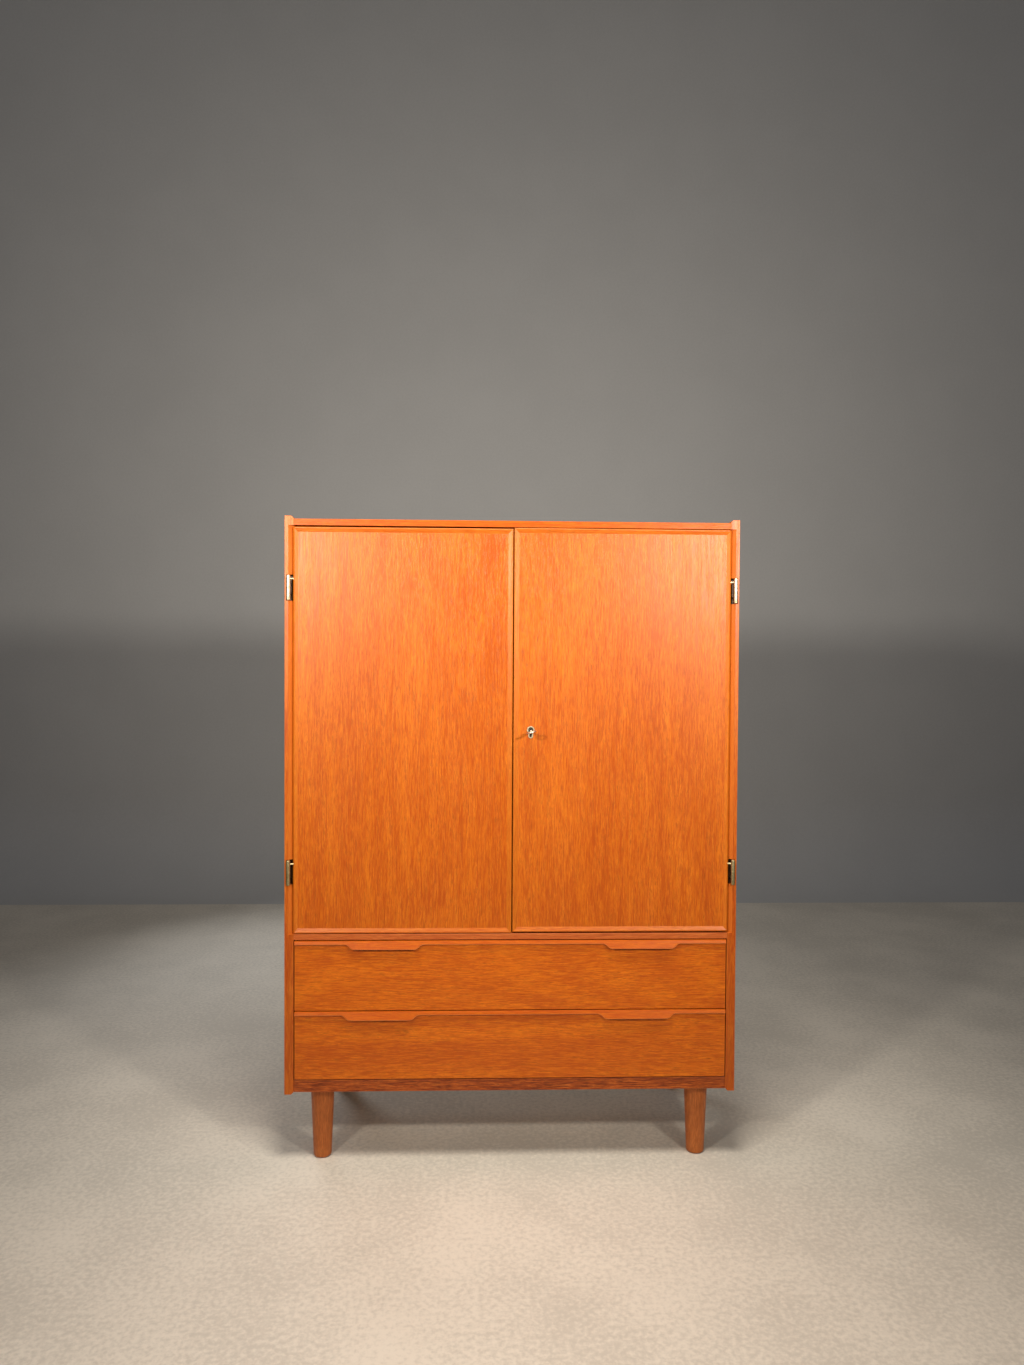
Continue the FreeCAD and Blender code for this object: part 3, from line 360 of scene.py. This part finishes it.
# The first rule whose ending fits a node's name gives its wood.
WOOD_RULES = [
    # end of the name, grain axis, palette, extra settings
    ("door_panel", "Z", DOOR, dict(contrast=1.15, figure=0.16, worn=0.0, pores=0.6)),
    ("door_upright_lippings", "Z", LIT_UPRIGHT_LIP, dict(contrast=0.7)),
    ("door_cross_lippings", "X", LIP, dict(contrast=0.7)),
    ("side_panel", "Z", SIDE, dict(contrast=1.2, figure=0.25)),
    ("top_panel", "X", TOP, dict(contrast=0.8, gloss=0.25, worn=0.0)),
    ("middle_deck", "X", DECK, dict(contrast=0.8, worn=0.0)),
    ("centre_partition", "Z", SIDE, {}),
    ("shelf", "X", SIDE, {}),
    ("bottom_front_rail", "X", RAIL, dict(contrast=1.2, pores=0.7)),
    ("drawer_front", "X", DRAWER, dict(contrast=1.3, figure=0.20, worn=0.2, pores=0.6)),
    ("drawer_pull_strip", "X", SHADED_PULL, dict(contrast=0.8, gloss=0.25, worn=0.0, rubbed_under=True)),
    ("leg", "Z", LEG, dict(contrast=0.9, worn=0.0, rough=0.48)),
    ("drawer_left_side", "Y", BEECH, dict(contrast=0.6, rough=0.55)),
    ("drawer_right_side", "Y", BEECH, dict(contrast=0.6, rough=0.55)),
    ("drawer_back", "X", BEECH, dict(contrast=0.6, rough=0.55)),
    ("drawer_runners", "Y", BEECH, dict(contrast=0.6, rough=0.5)),
    ("hanging_rail", "X", BEECH, dict(contrast=0.6, worn=0.0)),
    ("hanging_rail_sockets", "Z", BEECH, dict(contrast=0.6, worn=0.0)),
    ("drawer_bottom", "X", PLY, dict(contrast=0.8, rough=0.6)),
    ("bottom_panel", "X", PLY, dict(contrast=0.8, rough=0.6)),
    ("back_panel", "Z", PLY, dict(contrast=0.9, figure=0.2, rough=0.6)),
]

# Each metal: colour, tarnished colour, roughness.
METALS = {
    "brass": ((0.74, 0.66, 0.46), (0.52, 0.44, 0.26), 0.46),
    "lock_steel": ((0.13, 0.12, 0.11), (0.08, 0.07, 0.06), 0.50),
    "zinc_steel": ((0.62, 0.62, 0.62), (0.42, 0.42, 0.43), 0.40),
}
KEY_METAL = ((0.70, 0.61, 0.50), (0.48, 0.40, 0.30), 0.34)
PLAIN_TINT = (1.0, 1.0, 1.0)
FRAME_HALF_TINT = (0.80, 0.80, 0.78)
LOWER_HINGE_TINT = (0.80, 0.76, 0.58)


def hinge_heights():
    """Bottom and top of each hinge pair's barrels."""
    for place in ("lower", "upper"):
        halves = [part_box(place + "_left_hinge_" + part + "_half") for part in ("frame", "door")]
        yield min(low[2] for low, high in halves), max(high[2] for low, high in halves)


def tinted(colour, tint):
    return tuple(a * b for a, b in zip(colour, tint))


def metal_tint(node):
    """The hinges' frame halves are duller, and the lower pair is more olive."""
    tint = FRAME_HALF_TINT if node.endswith("hinge_frame_half") else PLAIN_TINT
    if node.startswith("lower_") and "hinge" in node:
        tint = tinted(tint, LOWER_HINGE_TINT)
    return tint


def wood_rule(node):
    """Grain axis, palette and extra settings of a wooden node."""
    return next(rest for ending, *rest in WOOD_RULES if node.endswith(ending))


def dress_cad_nodes():
    hinges = list(hinge_heights())
    slots = {part["node"]: part["material_slot"] for part in frame["record"]["subparts"]}
    for seed, node in enumerate(sorted(NODES)):
        box = [tuple(corner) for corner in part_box(node)]
        if slots[node] in METALS:
            colour, dull, rough = METALS[slots[node]]
            tint = metal_tint(node)
            material = metal("metal_" + node, tinted(colour, tint), tinted(dull, tint), rough, box)
        else:
            grain, palette, extra = wood_rule(node)
            # Side panels get painted light on their chamfer and painted shade in their hinge slots.
            if node.endswith("side_panel"):
                extra = dict(extra, slots=hinges)
            material = wood("wood_" + node, grain, seed, palette, box, **extra)
        for place in NODES[node].material_slots:
            place.material = material


# --------------------------------------------------------------------- key

MM = 0.001
AROUND = 28
RING_STEPS = 56
TUBE_STEPS = 14
KEY_TILT = math.radians(-17)
SHARP_ANGLE = math.radians(40)

# Millimetres from the key's axis and from the door's face, as drawn before the tilt.
BOW_FRONT = -44.0
BOW_HALF = (13.0, 10.0)
BOW_RIM = 5.5
BOW_HALF_THICKNESS = 1.7
TURNED_PROFILE = [
    # radius, distance from the door's face
    (0.0, -26.7), (2.4, -26.7), (2.5, -24.8), (3.5, -24.8), (4.1, -24.3), (4.2, -23.7),
    (3.4, -23.2), (3.4, -22.5), (4.2, -22.0), (4.1, -21.3), (3.5, -20.9), (2.9, -20.8),
    (2.5, -20.1), (2.5, 14.9), (2.2, 15.7), (0.0, 16.0),
]
BIT_OUTLINE = [
    # distance from the door's face, height
    (11.0, -0.5), (11.0, -8.4), (12.7, -8.4), (12.7, -6.2),
    (14.2, -6.2), (14.2, -8.4), (16.0, -8.4), (16.0, -0.5),
]
BIT_HALF_THICKNESS = 1.0


def turned(profile):
    """Points and faces of a profile turned about the key's axis."""
    points, faces = [], []
    for radius, y in profile:
        for step in range(AROUND):
            turn = 2 * math.pi * step / AROUND
            points.append((radius * math.cos(turn), y, radius * math.sin(turn)))
    for row in range(len(profile) - 1):
        for step in range(AROUND):
            across = (step + 1) % AROUND
            a, b = row * AROUND, (row + 1) * AROUND
            faces.append((a + step, b + step, b + across, a + across))
    return points, faces


def bow_ring():
    """The oval bow: a rounded rim swept round an ellipse."""
    points, faces = [], []
    middle = [half - BOW_RIM / 2 for half in BOW_HALF]
    centre_y = BOW_FRONT + BOW_HALF[1]
    for step in range(RING_STEPS):
        turn = 2 * math.pi * step / RING_STEPS
        for part in range(TUBE_STEPS):
            roll = 2 * math.pi * part / TUBE_STEPS
            out = BOW_RIM / 2 * math.cos(roll)
            x = (middle[0] + out) * math.cos(turn)
            y = centre_y + (middle[1] + out) * math.sin(turn)
            points.append((x, y, BOW_HALF_THICKNESS * math.sin(roll)))
            ahead = (step + 1) % RING_STEPS * TUBE_STEPS
            here = step * TUBE_STEPS
            up = (part + 1) % TUBE_STEPS
            faces.append((here + part, ahead + part, ahead + up, here + up))
    return points, faces


def bit_plate():
    """The bit with its ward notch."""
    count = len(BIT_OUTLINE)
    points = [(x, y, z) for x in (-BIT_HALF_THICKNESS, BIT_HALF_THICKNESS) for y, z in BIT_OUTLINE]
    faces = [tuple(range(count)), tuple(range(2 * count - 1, count - 1, -1))]
    for i in range(count):
        ahead = (i + 1) % count
        faces.append((i, i + count, ahead + count, ahead))
    return points, faces


def make_key():
    """A rounded key in place of the plain one, turning with it."""
    joints = {joint["name"]: joint for joint in frame["record"]["behaviour"]["joints"]}
    pivot = Vector(joints["key_turn"]["pos_m"])
    place = Matrix.Translation(pivot) @ Matrix.Rotation(KEY_TILT, 4, "Y")
    points, faces = [], []
    for some_points, some_faces in (turned(TURNED_PROFILE), bow_ring(), bit_plate()):
        start = len(points)
        points += [place @ (Vector(point) * MM) for point in some_points]
        faces += [tuple(start + corner for corner in face) for face in some_faces]
    mesh = bpy.data.meshes.new("rounded_key")
    mesh.from_pydata(points, [], faces)
    mesh.validate()
    mesh.shade_smooth()
    mesh.set_sharp_from_angle(angle=SHARP_ANGLE)
    box = [tuple(corner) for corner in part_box("key")]
    mesh.materials.append(metal("metal_rounded_key", *KEY_METAL, box))
    key = bpy.data.objects.new("rounded_key", mesh)
    bpy.context.scene.collection.objects.link(key)
    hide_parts("key")
    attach(key, "key")


# ------------------------------------------------------------------- stage

CLOUD_SCALE = (2.5, 2.5, 2.5)
SPECK_SCALE = (90.0, 90.0, 90.0)
PLAIN_ROUGHNESS = 0.6
PLAIN_CLOUD_GAIN = 1.6
PLAIN_SPECK_GAIN = 2.0
PLAIN_CUT = (0.1, 0.9)


def plain(name, colour, rough, mottling):
    """Plaster or worn concrete: a plain tone with faint clouds and specks."""
    s = Shader(name)
    cloud = s.noise(s.mapped(CLOUD_SCALE), 6.0, PLAIN_ROUGHNESS)
    speck = s.noise(s.mapped(SPECK_SCALE), 4.0, PLAIN_ROUGHNESS)
    tone = s.total([(cloud, PLAIN_CLOUD_GAIN), (speck, PLAIN_SPECK_GAIN)], 0.5)
    mottled = s.mix(s.ramp(tone, *PLAIN_CUT), colour, scaled(colour, 1 - mottling))
    s.feed(s.bsdf.inputs["Base Color"], mottled)
    s.bsdf.inputs["Roughness"].default_value = rough
    return s.material


WALL_Y = 2.8
ROOM = 16.0
SWEEP = 0.5
SWEEP_STEPS = 12
# Each surface: colour, roughness, mottling.
FLOOR = ((0.71, 0.645, 0.545), 0.8, 0.20)
BACKDROP = ((0.50, 0.49, 0.475), 0.9, 0.05)


def make_stage():
    """A floor that sweeps up into a backdrop, well behind the wardrobe."""
    profile = [(-ROOM, 0.0), (WALL_Y - SWEEP, 0.0)]
    for step in range(1, SWEEP_STEPS):
        turn = math.pi / 2 * step / SWEEP_STEPS
        profile.append((WALL_Y - SWEEP + SWEEP * math.sin(turn), SWEEP - SWEEP * math.cos(turn)))
    profile += [(WALL_Y, SWEEP), (WALL_Y, ROOM)]
    points = [(x, y, z) for y, z in profile for x in (-ROOM, ROOM)]
    faces = [(2 * i, 2 * i + 1, 2 * i + 3, 2 * i + 2) for i in range(len(profile) - 1)]
    mesh = bpy.data.meshes.new("studio_sweep")
    mesh.from_pydata(points, [], faces)
    mesh.materials.append(plain("pale_floor", *FLOOR))
    mesh.materials.append(plain("grey_backdrop", *BACKDROP))
    for polygon in mesh.polygons:
        polygon.material_index = 1 if polygon.index > 0 else 0
        polygon.use_smooth = True
    sweep = bpy.data.objects.new("studio_sweep", mesh)
    bpy.context.scene.collection.objects.link(sweep)


WARM = (1.0, 0.94, 0.85)
COOL = (0.93, 0.96, 1.0)
ROOM_LIGHT = (0.93, 0.95, 1.0, 1.0)
ROOM_STRENGTH = 0.16
LAMPS = [
    # name, place, target, size, watts, colour, spread in degrees
    ("left_softbox", (-1.12, -1.9, 1.72), (-0.4, -0.2, 1.8), 0.24, 17.5, WARM, 105),
    ("right_softbox", (1.12, -1.9, 1.72), (0.4, -0.2, 1.8), 0.24, 17.5, WARM, 105),
    ("floor_softbox", (0.0, -1.1, 3.4), (0.0, -1.0, 0.0), 0.8, 16, WARM, 70),
    ("back_softbox", (-1.5, 2.4, 1.3), (0.2, 0.2, 0.8), 1.2, 12, COOL, 120),
]


def area_light(name, place, target, size, power, colour, spread):
    data = bpy.data.lights.new(name, "AREA")
    data.shape = "DISK"
    data.size = size
    data.energy = power
    data.color = colour
    data.spread = math.radians(spread)
    lamp = bpy.data.objects.new(name, data)
    bpy.context.scene.collection.objects.link(lamp)
    lamp.location = place
    lamp.rotation_euler = (Vector(target) - Vector(place)).to_track_quat("-Z", "Y").to_euler()
    lamp.visible_camera = False


def make_lights():
    for lamp in LAMPS:
        area_light(*lamp)
    world = bpy.data.worlds.new("room")
    bpy.context.scene.world = world
    world.use_nodes = True
    background = world.node_tree.nodes["Background"]
    background.inputs["Color"].default_value = ROOM_LIGHT
    background.inputs["Strength"].default_value = ROOM_STRENGTH


SENSOR = 36.0
LENS = 25.318681
CAMERA_TURN = (1.89, -1.22, 0.323)
CAMERA_PLACE = (-0.0796, -2.5405, 1.2241)


def make_camera():
    """The camera stands a little left of the middle and looks slightly down."""
    yaw, pitch, roll = (math.radians(degrees) for degrees in CAMERA_TURN)
    data = bpy.data.cameras.new("camera")
    data.sensor_width = SENSOR
    data.lens = LENS
    camera = bpy.data.objects.new("camera", data)
    bpy.context.scene.collection.objects.link(camera)
    level = math.cos(pitch)
    forward = Vector((math.sin(yaw) * level, math.cos(yaw) * level, math.sin(pitch)))
    right = Vector((math.cos(yaw), -math.sin(yaw), 0))
    up = right.cross(forward)
    tilted_right = right * math.cos(roll) + up * math.sin(roll)
    tilted_up = up * math.cos(roll) - right * math.sin(roll)
    turn = Matrix((tilted_right, tilted_up, -forward)).transposed().to_4x4()
    camera.matrix_world = Matrix.Translation(CAMERA_PLACE) @ turn
    bpy.context.scene.camera = camera


dress_cad_nodes()
make_key()
make_stage()
make_lights()
make_camera()
bpy.context.scene.view_settings.view_transform = "Standard"
